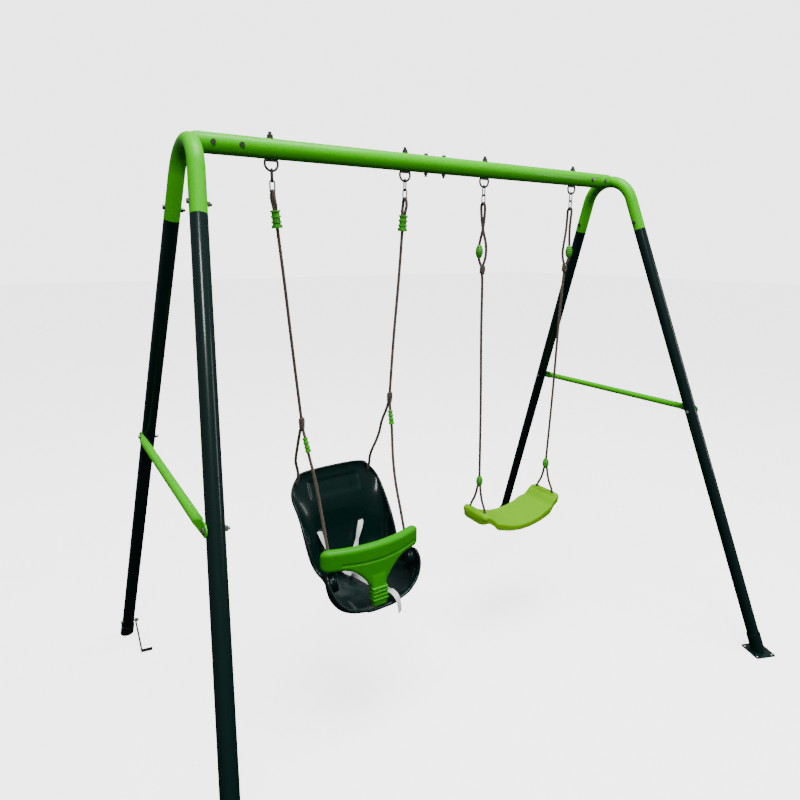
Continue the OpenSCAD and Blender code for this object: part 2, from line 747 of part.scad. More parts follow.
module shell_solid(top, bottom) {
    rows = len(top);
    cols = len(top[0]);
    n = rows * cols;
    points = [for (g = [top, bottom]) for (r = g) for (p = r) p];
    function at(i, j) = i * cols + j;
    quads = concat(
        [for (i = [0:rows - 2]) for (j = [0:cols - 2])
            [at(i, j), at(i, j + 1), at(i + 1, j + 1), at(i + 1, j)]],
        [for (i = [0:rows - 2]) for (j = [0:cols - 2])
            [n + at(i, j), n + at(i + 1, j), n + at(i + 1, j + 1), n + at(i, j + 1)]],
        [for (i = [0:rows - 2]) for (e = [[0, 1], [cols - 1, 0]])
            e[1] == 1 ? [at(i, e[0]), at(i + 1, e[0]), n + at(i + 1, e[0]), n + at(i, e[0])]
                      : [at(i + 1, e[0]), at(i, e[0]), n + at(i, e[0]), n + at(i + 1, e[0])]],
        [for (j = [0:cols - 2]) [at(0, j + 1), at(0, j), n + at(0, j), n + at(0, j + 1)]],
        [for (j = [0:cols - 2])
            [at(rows - 1, j), at(rows - 1, j + 1), n + at(rows - 1, j + 1), n + at(rows - 1, j)]]
    );
    faces = [for (q = quads) for (t = [[q[0], q[1], q[2]], [q[0], q[2], q[3]]]) t];
    polyhedron(points = points, faces = faces);
}

module baby_seat() {
    color(dark_green) in_baby_swing() difference() {
        union() {
            shell_solid(inside, outside);
            for (s = [-1, 1]) translate([s * bar_rope_x, slide_y(552), 552])
                rotate([-atan(slope), 0, 0]) {
                    translate([0, 0, -32]) cylinder(h = 60, d = stop_d + 9);
                    translate([s * 9, 0, -8]) cube([18, 24, 44], center = true);
                }
        }
        for (s = [-1, 1]) {
            translate([s * bar_rope_x, slide_y(552), 552]) rotate([-atan(slope), 0, 0]) {
                cylinder(h = 120, d = rope_d + 1, center = true);
                translate([0, 0, -40]) cylinder(h = 34, d = stop_d + 3);
            }
            translate([s * rear_hole.x, rear_hole.y, rear_hole.z]) rotate([rear_lean, 0, 0])
                cylinder(h = 60, d = rope_d + rear_play, center = true);
            translate([s * slot_at.x, slot_at.y, slot_at.z])
                cube([strap_w + 10, 60, slot_h], center = true);
        }
    }
}

// Webbing: two shoulder straps and a crotch strap that hangs over the front lip
strap_w = 22;
strap_t = 1.6;
slot_h = 18;
slot_at = [86, 78, 616];
shoulder = [slot_at + [0, 14, 0], slot_at, [85, 62, 611], [82, 52, 594], [74, 38, 562],
            [60, 20, 528], [40, 2, 496], [25, -12, 479], [13, -24, 461.5]];
crotch = [[0, -8, 465], [4, -26, 465], [15, -60, 462], [34, -110, 458], [46, -160, 464], [49, -206, 466],
          [51, -230, 460], [53, -240, 440], [54, -240, 405]];

module baby_straps() {
    color(webbing) in_baby_swing() {
        for (s = [0, 1]) mirror([s, 0, 0])
            band(shoulder, [for (p = shoulder) [1, 0.3, 0]], strap_w, strap_t);
        band(crotch, [for (p = crotch) [1, 0.1, 0]], strap_w, strap_t);
    }
}

// Safety bar: a curved crosspiece on a post that stands on the seat's front lip
bar_mid = [-185, 625];
bar_end = [-143, 625];
post_foot = [-204, 444];

function bar_y(x) = bar_mid.x + (bar_end.x - bar_mid.x) * pow(x / bar_half, 2);

module bar_slice(x) {
    r = bar_thick / 2;
    for (s = [-1, 1]) translate([x, bar_y(x), bar_mid.y + s * (bar_tall / 2 - r)])
        sphere(r = r, $fn = 24);
}

module post_slice(y, z, w, t) {
    translate([-w / 2, y - t / 2, z]) cube([w, t, 1]);
}

module safety_bar() {
    reach = bar_half - bar_thick / 2;
    cuts = [for (f = [-1, -0.73, -0.37, 0, 0.37, 0.73, 1]) f * reach];
    post_w = 60;
    post_t = 26;
    color(lime) in_baby_swing() difference() {
        union() {
            for (i = [0:len(cuts) - 2]) hull() {
                bar_slice(cuts[i]);
                bar_slice(cuts[i + 1]);
            }
            hull() {
                post_slice(bar_mid.x, bar_mid.y - 20, 180, post_t);
                post_slice(-189, 560, post_w + 12, post_t);
            }
            hull() {
                post_slice(-189, 560, post_w + 12, post_t);
                post_slice(post_foot.x, post_foot.y, post_w, post_t);
            }
        }
        for (s = [-1, 1]) translate([s * bar_rope_x, slide_y(bar_mid.y), bar_mid.y])
            rotate([-atan(slope), 0, 0]) cylinder(h = 3 * bar_tall, d = rope_d + 1, center = true);
    }
}

// ---------------------------------------------------------------- board swing
// Every point here is measured from the swing's middle: x from board_x.

board_knot_z = 1530;
egg_z = 1587;
splitter_z = 678;
splitter_dx = 192;

// Offset of one strand of the upper loop at an angle about the rope's own line
function strand(x, r, a, z) = [x + r * cos(a), r * sin(a), z];
function board_x_at(k, z) = baby_side(k) * (hanger_gap / 2
    + (splitter_dx - hanger_gap / 2) * (eye_z - z) / (eye_z - splitter_z));

// Upper loop: two strands from the knot up to the chain link, one through the adjuster
function board_route(k) =
    let (far = k == 0 ? -213 : -33, mid = k == 0 ? -123 : -60, x = board_x_at(k, 1600))
    [
        strand(x, 4, far, board_knot_z + 12),
        strand(x, 12, far, egg_z - 26),
        strand(x, 15, far, egg_z),
        strand(x, 12, far, egg_z + 30),
        strand(board_x_at(k, 1675), 7, mid, 1675),
        strand(board_x_at(k, 1720), 10, -95, 1720),
        strand(baby_side(k) * hanger_gap / 2, 9, -90, eye_z - 8),
        strand(baby_side(k) * hanger_gap / 2, 4.5, -90, eye_z - 1.5),
        [baby_side(k) * hanger_gap / 2, 0, eye_z],
        strand(baby_side(k) * hanger_gap / 2, 4.5, 90, eye_z - 1.5),
        strand(baby_side(k) * hanger_gap / 2, 9, 90, eye_z - 8),
        strand(board_x_at(k, 1720), 10, 85, 1720),
        strand(board_x_at(k, 1675), 7, mid + 180, 1675),
        strand(x, 11, far + 180, egg_z + 30),
        strand(x, 13, far + 180, egg_z),
        strand(x, 10, far + 180, egg_z - 26),
        [x, 0, board_knot_z - 4],
        [board_x_at(k, 1490), 0, 1490],
        [board_x_at(k, 1100), 0, 1100],
        [board_x_at(k, splitter_z + 10), 0, splitter_z + 10]
    ];

// Sling: out of the splitter, down through one hole, under the board and back up
board_r = (board_hole_x * board_hole_x + board_sag * board_sag) / (2 * board_sag);
board_centre_z = board_h - board_sag + board_r;
board_under = board_centre_z - sqrt(pow(board_r + board_t, 2) - board_hole_x * board_hole_x);
sling_half = [
    [-1, 0, splitter_z - 14], [-1.5, 0.09, 652], [-2, 0.16, 634], [-3, 0.5, 600], [-3.5, 0.85, 570]
];
function sling_point(k, q, s) = [baby_side(k) * (splitter_dx - q[0]), s * q[1] * board_hole_y, q[2]];
function sling_route(k) = concat(
    [for (i = [0:len(sling_half) - 1]) sling_point(k, sling_half[i], -1) + [0, i < 3 ? -5 : 0, 0]],
    [[baby_side(k) * board_hole_x, -board_hole_y, board_h],
     [baby_side(k) * board_hole_x, -board_hole_y, board_under + 2],
     [baby_side(k) * board_hole_x, -board_hole_y + 7, board_under - 7],
     [baby_side(k) * board_hole_x, board_hole_y - 7, board_under - 7],
     [baby_side(k) * board_hole_x, board_hole_y, board_under + 2],
     [baby_side(k) * board_hole_x, board_hole_y, board_h]],
    [for (i = [len(sling_half) - 1:-1:0]) sling_point(k, sling_half[i], 1) + [0, i < 3 ? 5 : 0, 0]]
);

module in_board_swing() {
    translate([board_x, 0, 0]) children();
}

module board_rope(k) {
    color(rope_brown) in_board_swing() swept_cord(board_route(k), rope_d);
}

module board_adjuster(k) {
    r = board_route(k);
    color(clip_green) in_board_swing() between(r[1], r[3]) egg(60, 29);
}

module board_knots() {
    color(rope_brown) in_board_swing() for (k = [0, 1])
        translate([board_x_at(k, board_knot_z), 0, board_knot_z - 6]) knot(40, 20);
}

module board_splitter(k) {
    color(clip_green) in_board_swing() translate([board_x_at(k, splitter_z), 0, splitter_z])
        egg(58, 28);
}

module board_sling(k) {
    color(rope_brown) in_board_swing() swept_cord(sling_route(k), rope_d);
}

// A curved board with a raised roll at each end, drilled for its ropes
module board_seat() {
    end_r = 46;
    roll_d = 36;
    color(board_green) in_board_swing() difference() {
        union() {
            intersection() {
                translate([0, 0, board_centre_z]) rotate([90, 0, 0])
                    tube_between(board_w, board_r + board_t, board_r);
                translate([0, 0, board_h - 200]) linear_extrude(400) board_outline(end_r);
            }
            for (x = [-1, 1])
                translate([x * (board_l / 2 - roll_d / 2 - 1), 0, board_h - roll_d / 2 + 7])
                    rotate([90, 0, 0]) cylinder(h = board_w - 30, d = roll_d, center = true);
        }
        for (x = [-1, 1]) for (y = [-1, 1])
            translate([x * board_hole_x, y * board_hole_y, board_h - 100])
                cylinder(h = 200, d = rope_d + 6);
    }
}

module tube_between(length, outer_r, inner_r) {
    difference() {
        cylinder(h = length, r = outer_r, center = true, $fn = 96);
        cylinder(h = length + 2, r = inner_r, center = true, $fn = 96);
    }
}

module board_outline(r) {
    l = board_l / 2 - r;
    w = board_w / 2 - r;
    square([2 * l, board_w], center = true);
    square([board_l, 2 * w], center = true);
    for (x = [-1, 1]) for (y = [-1, 1]) translate([x * l, y * w]) circle(r = r);
}

// ---------------------------------------------------------------- nodes

beam_left();
beam_right();
corner(LEFT);  // corner_left
corner(RIGHT);  // corner_right
leg_upper(LEFT, FRONT);  // leg_upper_front_left
leg_upper(RIGHT, FRONT);  // leg_upper_front_right
leg_upper(LEFT, REAR);  // leg_upper_rear_left
leg_upper(RIGHT, REAR);  // leg_upper_rear_right
leg_lower(LEFT, FRONT);  // leg_lower_front_left
leg_lower(RIGHT, FRONT);  // leg_lower_front_right
leg_lower(LEFT, REAR);  // leg_lower_rear_left
leg_lower(RIGHT, REAR);  // leg_lower_rear_right
brace(LEFT);  // brace_left
brace(RIGHT);  // brace_right
foot_plate(LEFT);  // foot_plate_left
foot_plate(RIGHT);  // foot_plate_right
end_cap(LEFT);  // end_cap_left
end_cap(RIGHT);  // end_cap_right
anchor(LEFT);  // anchor_left
anchor(RIGHT);  // anchor_right
anchor_bolts();
beam_bolts();
arch_bolts();
brace_bolts();
hanger(0);  // hanger_baby_left
hanger(1);  // hanger_baby_right
hanger(2);  // hanger_board_left
hanger(3);  // hanger_board_right
hanger_nuts();
chain(0);  // chain_baby_left
chain(1);  // chain_baby_right
chain(2);  // chain_board_left
chain(3);  // chain_board_right
baby_rope(0);  // baby_rope_left
baby_rope(1);  // baby_rope_right
baby_adjuster(0);  // baby_adjuster_left
baby_adjuster(1);  // baby_adjuster_right
baby_knots();
front_rope(0);  // front_rope_left
front_rope(1);  // front_rope_right
front_adjuster(0);  // front_adjuster_left
front_adjuster(1);  // front_adjuster_right
rear_rope(0);  // rear_rope_left
rear_rope(1);  // rear_rope_right
baby_seat();
baby_straps();
safety_bar();
board_rope(0);  // board_rope_left
board_rope(1);  // board_rope_right
board_adjuster(0);  // board_adjuster_left
board_adjuster(1);  // board_adjuster_right
board_knots();
board_splitter(0);  // board_splitter_left
board_splitter(1);  // board_splitter_right
board_sling(0);  // board_sling_left
board_sling(1);  // board_sling_right
board_seat();
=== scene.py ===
"""Looks of the garden swing set: ropes, knots, moulded seats, webbing, paint and studio."""
import math

import bpy
import bmesh
import numpy as np
from mathutils import Matrix, Vector


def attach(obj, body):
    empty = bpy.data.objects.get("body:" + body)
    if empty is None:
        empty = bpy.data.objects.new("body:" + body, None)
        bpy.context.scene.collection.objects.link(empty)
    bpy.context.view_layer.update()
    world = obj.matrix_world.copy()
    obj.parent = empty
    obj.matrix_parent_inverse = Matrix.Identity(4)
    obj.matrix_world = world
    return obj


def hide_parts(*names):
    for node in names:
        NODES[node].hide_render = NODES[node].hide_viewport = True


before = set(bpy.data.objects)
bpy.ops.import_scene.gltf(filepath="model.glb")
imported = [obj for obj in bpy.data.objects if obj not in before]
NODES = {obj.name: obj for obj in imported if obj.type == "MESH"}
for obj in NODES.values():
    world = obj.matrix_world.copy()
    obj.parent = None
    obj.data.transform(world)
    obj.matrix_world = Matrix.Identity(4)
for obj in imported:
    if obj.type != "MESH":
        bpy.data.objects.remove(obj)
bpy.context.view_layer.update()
MM = 0.001
SIGN = (-1, 1)
SIDES = ("left", "right")

# ------------------------------------------------------------------ camera

CAMERA_AT = (-1.27394, -1.67791, 1.59874)
CAMERA_YAW = 0.57569
CAMERA_PITCH = 0.25577
CAMERA_ROLL = -0.00353
CAMERA_LENS = 26.05
SENSOR = 36
CLIP_NEAR, CLIP_FAR = 0.05, 50


def make_camera():
    forward = Vector((math.sin(CAMERA_YAW) * math.cos(CAMERA_PITCH),
                      math.cos(CAMERA_YAW) * math.cos(CAMERA_PITCH),
                      -math.sin(CAMERA_PITCH)))
    right = Vector((math.cos(CAMERA_YAW), -math.sin(CAMERA_YAW), 0.0))
    down = forward.cross(right)
    c, s = math.cos(CAMERA_ROLL), math.sin(CAMERA_ROLL)
    right, down = c * right + s * down, -s * right + c * down
    data = bpy.data.cameras.new("camera")
    data.lens = CAMERA_LENS
    data.sensor_width = SENSOR
    data.clip_start, data.clip_end = CLIP_NEAR, CLIP_FAR
    camera = bpy.data.objects.new("camera", data)
    camera.matrix_world = Matrix((
        (right.x, -down.x, -forward.x, CAMERA_AT[0]),
        (right.y, -down.y, -forward.y, CAMERA_AT[1]),
        (right.z, -down.z, -forward.z, CAMERA_AT[2]),
        (0, 0, 0, 1)))
    bpy.context.scene.collection.objects.link(camera)
    bpy.context.scene.camera = camera


make_camera()

# ------------------------------------------------------------------ materials

COAT_ROUGH = 0.08
GRAIN_DEPTH = 0.0005


def material(name, color, rough, metallic=0.0, coat=0.0, mottle=0.0, scale=40.0,
             bump=0.0, bump_scale=200.0, sheen=0.0, spec=0.5):
    """A procedural material: base colour with soft mottling, and a fine bump."""
    m = bpy.data.materials.new(name)
    m.use_nodes = True
    nt = m.node_tree
    b = nt.nodes["Principled BSDF"]
    b.inputs["Base Color"].default_value = (*color, 1)
    b.inputs["Roughness"].default_value = rough
    b.inputs["Metallic"].default_value = metallic
    b.inputs["Coat Weight"].default_value = coat
    b.inputs["Coat Roughness"].default_value = COAT_ROUGH
    b.inputs["Sheen Weight"].default_value = sheen
    b.inputs["Specular IOR Level"].default_value = spec
    where = nt.nodes.new("ShaderNodeTexCoord")
    if mottle:
        noise = nt.nodes.new("ShaderNodeTexNoise")
        noise.inputs["Scale"].default_value = scale
        noise.inputs["Detail"].default_value = 4
        mix = nt.nodes.new("ShaderNodeMix")
        mix.data_type = "RGBA"
        mix.inputs["A"].default_value = (*[c * (1 - mottle) for c in color], 1)
        mix.inputs["B"].default_value = (*[min(1, c * (1 + mottle)) for c in color], 1)
        nt.links.new(where.outputs["Object"], noise.inputs["Vector"])
        nt.links.new(noise.outputs["Fac"], mix.inputs["Factor"])
        nt.links.new(mix.outputs["Result"], b.inputs["Base Color"])
    if bump:
        grain = nt.nodes.new("ShaderNodeTexNoise")
        grain.inputs["Scale"].default_value = bump_scale
        grain.inputs["Detail"].default_value = 3
        bumps = nt.nodes.new("ShaderNodeBump")
        bumps.inputs["Strength"].default_value = bump
        bumps.inputs["Distance"].default_value = GRAIN_DEPTH
        nt.links.new(where.outputs["Object"], grain.inputs["Vector"])
        nt.links.new(grain.outputs["Fac"], bumps.inputs["Height"])
        nt.links.new(bumps.outputs["Normal"], b.inputs["Normal"])
    return m


LIME = material("lime_paint", (0.050, 0.47, 0.0), 0.40, coat=0.08, mottle=0.03,
                bump=0.03, bump_scale=60, spec=0.10)
GREEN = material("green_paint", (0.0010, 0.0120, 0.0102), 0.26, coat=0.22, mottle=0.08, spec=0.25)
CAP = material("foot_plastic", (0.002, 0.013, 0.010), 0.42, mottle=0.1, bump=0.2, spec=0.3)
STEEL = material("dark_steel", (0.10, 0.10, 0.095), 0.36, metallic=0.8, mottle=0.15,
                 bump=0.25, bump_scale=400)
BRIGHT = material("bright_steel", (0.30, 0.30, 0.30), 0.28, metallic=0.9, mottle=0.08,
                  bump=0.15, bump_scale=300)
CLIP = material("clip_plastic", (0.040, 0.33, 0.012), 0.45, coat=0.05, mottle=0.06,
                bump=0.1, spec=0.2)
ROPE = material("rope", (0.080, 0.058, 0.042), 0.85, mottle=0.45, scale=260.0,
                bump=0.6, bump_scale=900, sheen=0.2, spec=0.2)
SEAT = material("seat_plastic", (0.0003, 0.0105, 0.0090), 0.24, coat=0.16, mottle=0.06,
                bump=0.06, bump_scale=500, spec=0.22)
BAR = material("bar_plastic", (0.022, 0.29, 0.0), 0.42, coat=0.05, mottle=0.04,
               bump=0.10, bump_scale=500, spec=0.15)
BOARD = material("board_plastic", (0.150, 0.43, 0.0), 0.50, coat=0.02, mottle=0.04,
                 bump=0.15, bump_scale=500, spec=0.1)
WEB = material("webbing", (0.72, 0.73, 0.74), 0.8, mottle=0.06, scale=300,
               bump=0.5, bump_scale=700, sheen=0.3)

BY_PREFIX = [
    ("beam_bolts", STEEL), ("arch_bolts", STEEL), ("brace_bolts", BRIGHT), ("anchor_bolts", STEEL),
    ("beam_", LIME), ("corner_", LIME), ("brace_", LIME), ("leg_", GREEN),
    ("foot_plate", GREEN), ("end_cap", CAP), ("anchor_", STEEL), ("hanger_", STEEL),
    ("chain_", STEEL), ("baby_adjuster", CLIP), ("front_adjuster", CLIP),
    ("board_adjuster", CLIP), ("board_splitter", CLIP), ("baby_seat", SEAT),
    ("baby_straps", WEB), ("safety_bar", BAR), ("board_seat", BOARD), ("", ROPE),
]


def dress(obj, mat):
    """Give a piece its only material."""
    obj.data.materials.clear()
    obj.data.materials.append(mat)


for node_name, node_object in NODES.items():
    dress(node_object, next(m for prefix, m in BY_PREFIX if node_name.startswith(prefix)))

# ------------------------------------------------------------------ mesh helpers


def new_mesh(name, verts, faces, mat, smooth=True):
    """A linked mesh object with its faces turned outwards."""
    mesh = bpy.data.meshes.new(name)
    mesh.from_pydata([tuple(v) for v in verts], [], [tuple(f) for f in faces])
    mesh.validate()
    obj = bpy.data.objects.new(name, mesh)
    bpy.context.scene.collection.objects.link(obj)
    dress(obj, mat)
    bm = bmesh.new()
    bm.from_mesh(mesh)
    bmesh.ops.recalc_face_normals(bm, faces=bm.faces)
    bm.to_mesh(mesh)
    bm.free()
    if smooth:
        mesh.polygons.foreach_set("use_smooth", [True] * len(mesh.polygons))
    return obj


def apply_modifiers(obj):
    """Bake an object's modifiers into its mesh."""
    graph = bpy.context.evaluated_depsgraph_get()
    mesh = bpy.data.meshes.new_from_object(obj.evaluated_get(graph))
    obj.modifiers.clear()
    obj.data = mesh


def join(name, parts, mat):
    """One new mesh object in place of several."""
    verts, faces = [], []
    for obj in parts:
        start = len(verts)
        verts += [tuple(obj.matrix_world @ v.co) for v in obj.data.vertices]
        faces += [[start + i for i in p.vertices] for p in obj.data.polygons]
        bpy.data.objects.remove(obj)
    return new_mesh(name, verts, faces, mat)


def smooth_path(points, step):
    """A smooth curve through the points (centripetal), resampled every `step`."""
    p = np.array(points, float)
    p = np.vstack([2 * p[0] - p[1], p, 2 * p[-1] - p[-2]])
    out = []
    for i in range(1, len(p) - 2):
        a, b, c, d = p[i - 1:i + 3]
        t = np.cumsum([0] + [math.sqrt(np.linalg.norm(v)) for v in (b - a, c - b, d - c)])
        n = max(4, int(np.linalg.norm(c - b) / step))
        for u in np.linspace(t[1], t[2], n, endpoint=False):
            a1 = (t[1] - u) / (t[1] - t[0]) * a + (u - t[0]) / (t[1] - t[0]) * b
            a2 = (t[2] - u) / (t[2] - t[1]) * b + (u - t[1]) / (t[2] - t[1]) * c
            a3 = (t[3] - u) / (t[3] - t[2]) * c + (u - t[2]) / (t[3] - t[2]) * d
            b1 = (t[2] - u) / (t[2] - t[0]) * a1 + (u - t[0]) / (t[2] - t[0]) * a2
            b2 = (t[3] - u) / (t[3] - t[1]) * a2 + (u - t[1]) / (t[3] - t[1]) * a3
            out.append((t[2] - u) / (t[2] - t[1]) * b1 + (u - t[1]) / (t[2] - t[1]) * b2)
    out.append(p[-2])
    q = np.array(out)
    s = np.concatenate([[0], np.cumsum(np.linalg.norm(np.diff(q, axis=0), axis=1))])
    even = np.linspace(0, s[-1], max(3, int(s[-1] / step) + 1))
    return np.stack([np.interp(even, s, q[:, k]) for k in range(3)], 1)


def frames_along(q):
    """Tangent and two side directions at each point, turning as little as possible."""
    t = np.gradient(q, axis=0)
    t /= np.linalg.norm(t, axis=1)[:, None]
    u = np.zeros_like(q)
    first = np.array([1.0, 0, 0]) if abs(t[0][2]) > 0.8 else np.array([0, 0, 1.0])
    u[0] = first - first @ t[0] * t[0]
    u[0] /= np.linalg.norm(u[0])
    for i in range(1, len(q)):
        v = u[i - 1] - u[i - 1] @ t[i] * t[i]
        u[i] = v / np.linalg.norm(v)
    return t, u, np.cross(t, u)


def skin(rings):
    """Faces over a list of equal rings, with both ends closed."""
    n, m = len(rings), len(rings[0])
    verts = [p for r in rings for p in r]
    faces = [(i * m + k, i * m + (k + 1) % m, (i + 1) * m + (k + 1) % m, (i + 1) * m + k)
             for i in range(n - 1) for k in range(m)]
    faces.append(tuple(range(m))[::-1])
    faces.append(tuple((n - 1) * m + k for k in range(m)))
    return verts, faces


def circle(n):
    """n angles evenly round a circle."""
    return np.arange(n) / n * 2 * math.pi


def tube_rings(q, radius, sides):
    """Rings of a plain round tube along the points q, in millimetres."""
    _, u, w = frames_along(q)
    angles = circle(sides)
    return [(q[i] + radius * (np.cos(angles)[:, None] * u[i] + np.sin(angles)[:, None] * w[i])) * MM
            for i in range(len(q))]


def rounded_rectangle(half_a, half_b, corner):
    """Points (a, b) round a rectangle with rounded corners."""
    return [(qa * (half_a - corner) + corner * math.cos(math.radians(start + turn)),
             qb * (half_b - corner) + corner * math.sin(math.radians(start + turn)))
            for qa, qb, start in ((1, 1, 0), (-1, 1, 90), (-1, -1, 180), (1, -1, 270))
            for turn in range(0, 91, 15)]


def closed_shell(name, upper, lower, mat):
    """A mesh between two equal grids of points in metres, closed round its edges."""
    rows, cols = len(upper), len(upper[0])
    size = rows * cols
    verts = [p for row in upper for p in row] + [p for row in lower for p in row]
    faces = []
    for i in range(rows - 1):
        for j in range(cols - 1):
            q = (i * cols + j, i * cols + j + 1, (i + 1) * cols + j + 1, (i + 1) * cols + j)
            faces += [q, tuple(size + v for v in q[::-1])]
        for j in (0, cols - 1):
            a, b = i * cols + j, (i + 1) * cols + j
            faces.append((a, b, size + b, size + a))
    for i in (0, rows - 1):
        for j in range(cols - 1):
            a = i * cols + j
            faces.append((a, a + 1, size + a + 1, size + a))
    return new_mesh(name, verts, faces, mat)


def add_cylinder(radius, depth, at, tilt=0.0, sides=24):
    """A cylinder in millimetres, tilted about X."""
    bpy.ops.mesh.primitive_cylinder_add(
        vertices=sides, radius=radius * MM, depth=depth * MM,
        location=[v * MM for v in at], rotation=(tilt, 0, 0))
    return bpy.context.object


def add_block(size, at, tilt=0.0):
    """A block in millimetres, tilted about X."""
    bpy.ops.mesh.primitive_cube_add(
        size=1, location=[v * MM for v in at], rotation=(tilt, 0, 0),
        scale=[v * MM for v in size])
    return bpy.context.object


MELT_VOXEL = 0.0022


def melt(obj, rounds):
    """Melt a moulding's overlapping pieces into one skin and soften its corners."""
    remesh = obj.modifiers.new("remesh", "REMESH")
    remesh.mode = "VOXEL"
    remesh.voxel_size = MELT_VOXEL
    remesh.use_smooth_shade = True
    smooth = obj.modifiers.new("smooth", "SMOOTH")
    smooth.iterations = rounds
    apply_modifiers(obj)


def cut_away(obj, cutters, mat, crossing=False):
    """Cut the cutters out of a piece; crossing says that they run into each other."""
    bpy.context.view_layer.update()
    cutter = join("cutter", cutters, mat)
    cut = obj.modifiers.new("cut", "BOOLEAN")
    cut.operation = "DIFFERENCE"
    cut.object = cutter
    cut.solver = "EXACT"
    cut.use_self = crossing
    apply_modifiers(obj)
    bpy.data.objects.remove(cutter)


def place(obj, dx, mat):
    """Shift a moulding to its swing and give it its material and smooth faces."""
    obj.data.transform(Matrix.Translation((dx * MM, 0, 0)))
    dress(obj, mat)
    obj.data.polygons.foreach_set("use_smooth", [True] * len(obj.data.polygons))


def blend01(v, lo, hi):
    """0 below lo, 1 above hi, and a smooth step between them."""
    t = min(max((v - lo) / (hi - lo), 0), 1)
    return t * t * (3 - 2 * t)


def bump_step(v, lo, hi, soft):
    """1 between lo and hi, falling to 0 over `soft` outside them."""
    return min(max((v - lo) / soft + 1, 0), 1) * min(max((hi - v) / soft + 1, 0), 1)


# ------------------------------------------------------------------ rope and knots

ROPE_D = 9.0
LAY = 30.0
STRANDS = 3
STRAND_LOW = 0.98
STRAND_RISE = 0.20


def twisted(points, d=ROPE_D, step=2.6, sides=15):
    """Rings of a three-strand rope along a path in millimetres."""
    q = smooth_path(points, step)
    _, u, w = frames_along(q)
    angles = circle(sides)
    rings = []
    for i in range(len(q)):
        turn = 2 * math.pi * i * step / LAY
        bulge = np.abs(np.cos(STRANDS / 2 * (angles - turn)))
        r = d / 2 * (STRAND_LOW + STRAND_RISE * bulge ** 0.6)
        rings.append((q[i] + r[:, None] * (np.cos(angles)[:, None] * u[i]
                                           + np.sin(angles)[:, None] * w[i])) * MM)
    return q * MM, rings


def rope(name, body, points, nodes):
    """A length of rope that hangs between two CAD pieces and stands for its CAD tube."""
    path, rings = twisted(points)
    obj = new_mesh(name, *skin(rings), ROPE)
    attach(obj, body)
    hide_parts(*nodes)
    return obj


def knot_coil(centre, axis, length, d, turns, wire):
    """A wrapped knot: a close coil of rope round the line, with a cross strand over it."""
    axis = np.array(axis, float) / np.linalg.norm(axis)
    side = np.cross(axis, [0.0, 1.0, 0.0])
    side /= np.linalg.norm(side)
    other = np.cross(axis, side)
    r = (d - wire) / 2
    out = []
    n = int(turns * 24)
    for i in range(n + 1):
        f = i / n
        a = 2 * math.pi * turns * f
        z = (f - 0.5) * (length - wire)
        rr = r * (1 - 0.35 * abs(2 * f - 1) ** 4)
        out.append(np.array(centre) + axis * z + rr * (side * math.cos(a) + other * math.sin(a)))
    _, rings = twisted(out, d=wire, step=2.2, sides=10)
    verts, faces = skin(rings)
    cross = [np.array(centre) + axis * z * length / 2
             + (r + 1.2) * (side * math.cos(a) + other * math.sin(a))
             for z, a in ((-0.72, 1.2), (-0.35, 1.6), (0.0, 2.2), (0.35, 2.8), (0.72, 3.2))]
    _, rings2 = twisted(cross, d=wire * 0.85, step=2.2, sides=10)
    v2, f2 = skin(rings2)
    start = len(verts)
    return verts + v2, faces + [tuple(start + i for i in f) for f in f2]


def merged(name, pieces, mat):
    """One mesh object from several (vertices, faces) pairs."""
    verts, faces = [], []
    for v, f in pieces:
        start = len(verts)
        verts += list(v)
        faces += [tuple(start + i for i in g) for g in f]
    return new_mesh(name, verts, faces, mat)


# ------------------------------------------------------------------ shared measures, as in the CAD

HANGER_IN = 169
HANGER_GAP = 455
BABY_X = -HANGER_IN - HANGER_GAP / 2
BOARD_X = HANGER_IN + HANGER_GAP / 2
PIVOT_Z = 1811.5
LINK_R = 6.05
LINK_L = 40
LINK_WIRE = 4.5
UPPER_END = PIVOT_Z + LINK_R + LINK_WIRE / 2 - LINK_L
LOWER_TOP = UPPER_END + 2 * LINK_WIRE + 0.2
EYE_Z = LOWER_TOP - LINK_L + LINK_WIRE + 0.2 + ROPE_D / 2


def moved(points, dx):
    """The points shifted along the beam."""
    return [(p[0] + dx, p[1], p[2]) for p in points]


# ------------------------------------------------------------------ baby swing ropes

KNOT_TOP = [(-168, 0, 1070), (168, 0, 1112)]
KNOT_LOW = [(-167, 0, 1030), (167, 0, 1072)]
CLIP_TOP = [(-163, -10, 1003), (164, -10, 1046)]
CLIP_LOW = [(-159, -26, 957), (160, -26, 1000)]
SLOPE = 0.352
BAR_ROPE_X = 148
ADJ_Z = 1680
STOP_Z = 534
REAR_STOP = (145, 135, 780)
REAR_STOP_LEAN = math.radians(60)
# Wrapped knots: length, diameter, turns and the rope's own diameter
JOIN_KNOT = (44, 20, 4.6, 8.5)
STOP_KNOT = (22, 19, 2.2, 8)
BOARD_KNOT = (40, 21, 4.2, 8.5)


def slide_y(z):
    """How far back the bar's ropes are at a height."""
    return -155 + SLOPE * (z - 562)


def main_x(k, z):
    """Where the main rope is between its eye and the joining knot."""
    top = SIGN[k] * HANGER_GAP / 2
    return top + (KNOT_TOP[k][0] - top) * (EYE_Z - z) / (EYE_Z - KNOT_TOP[k][2])


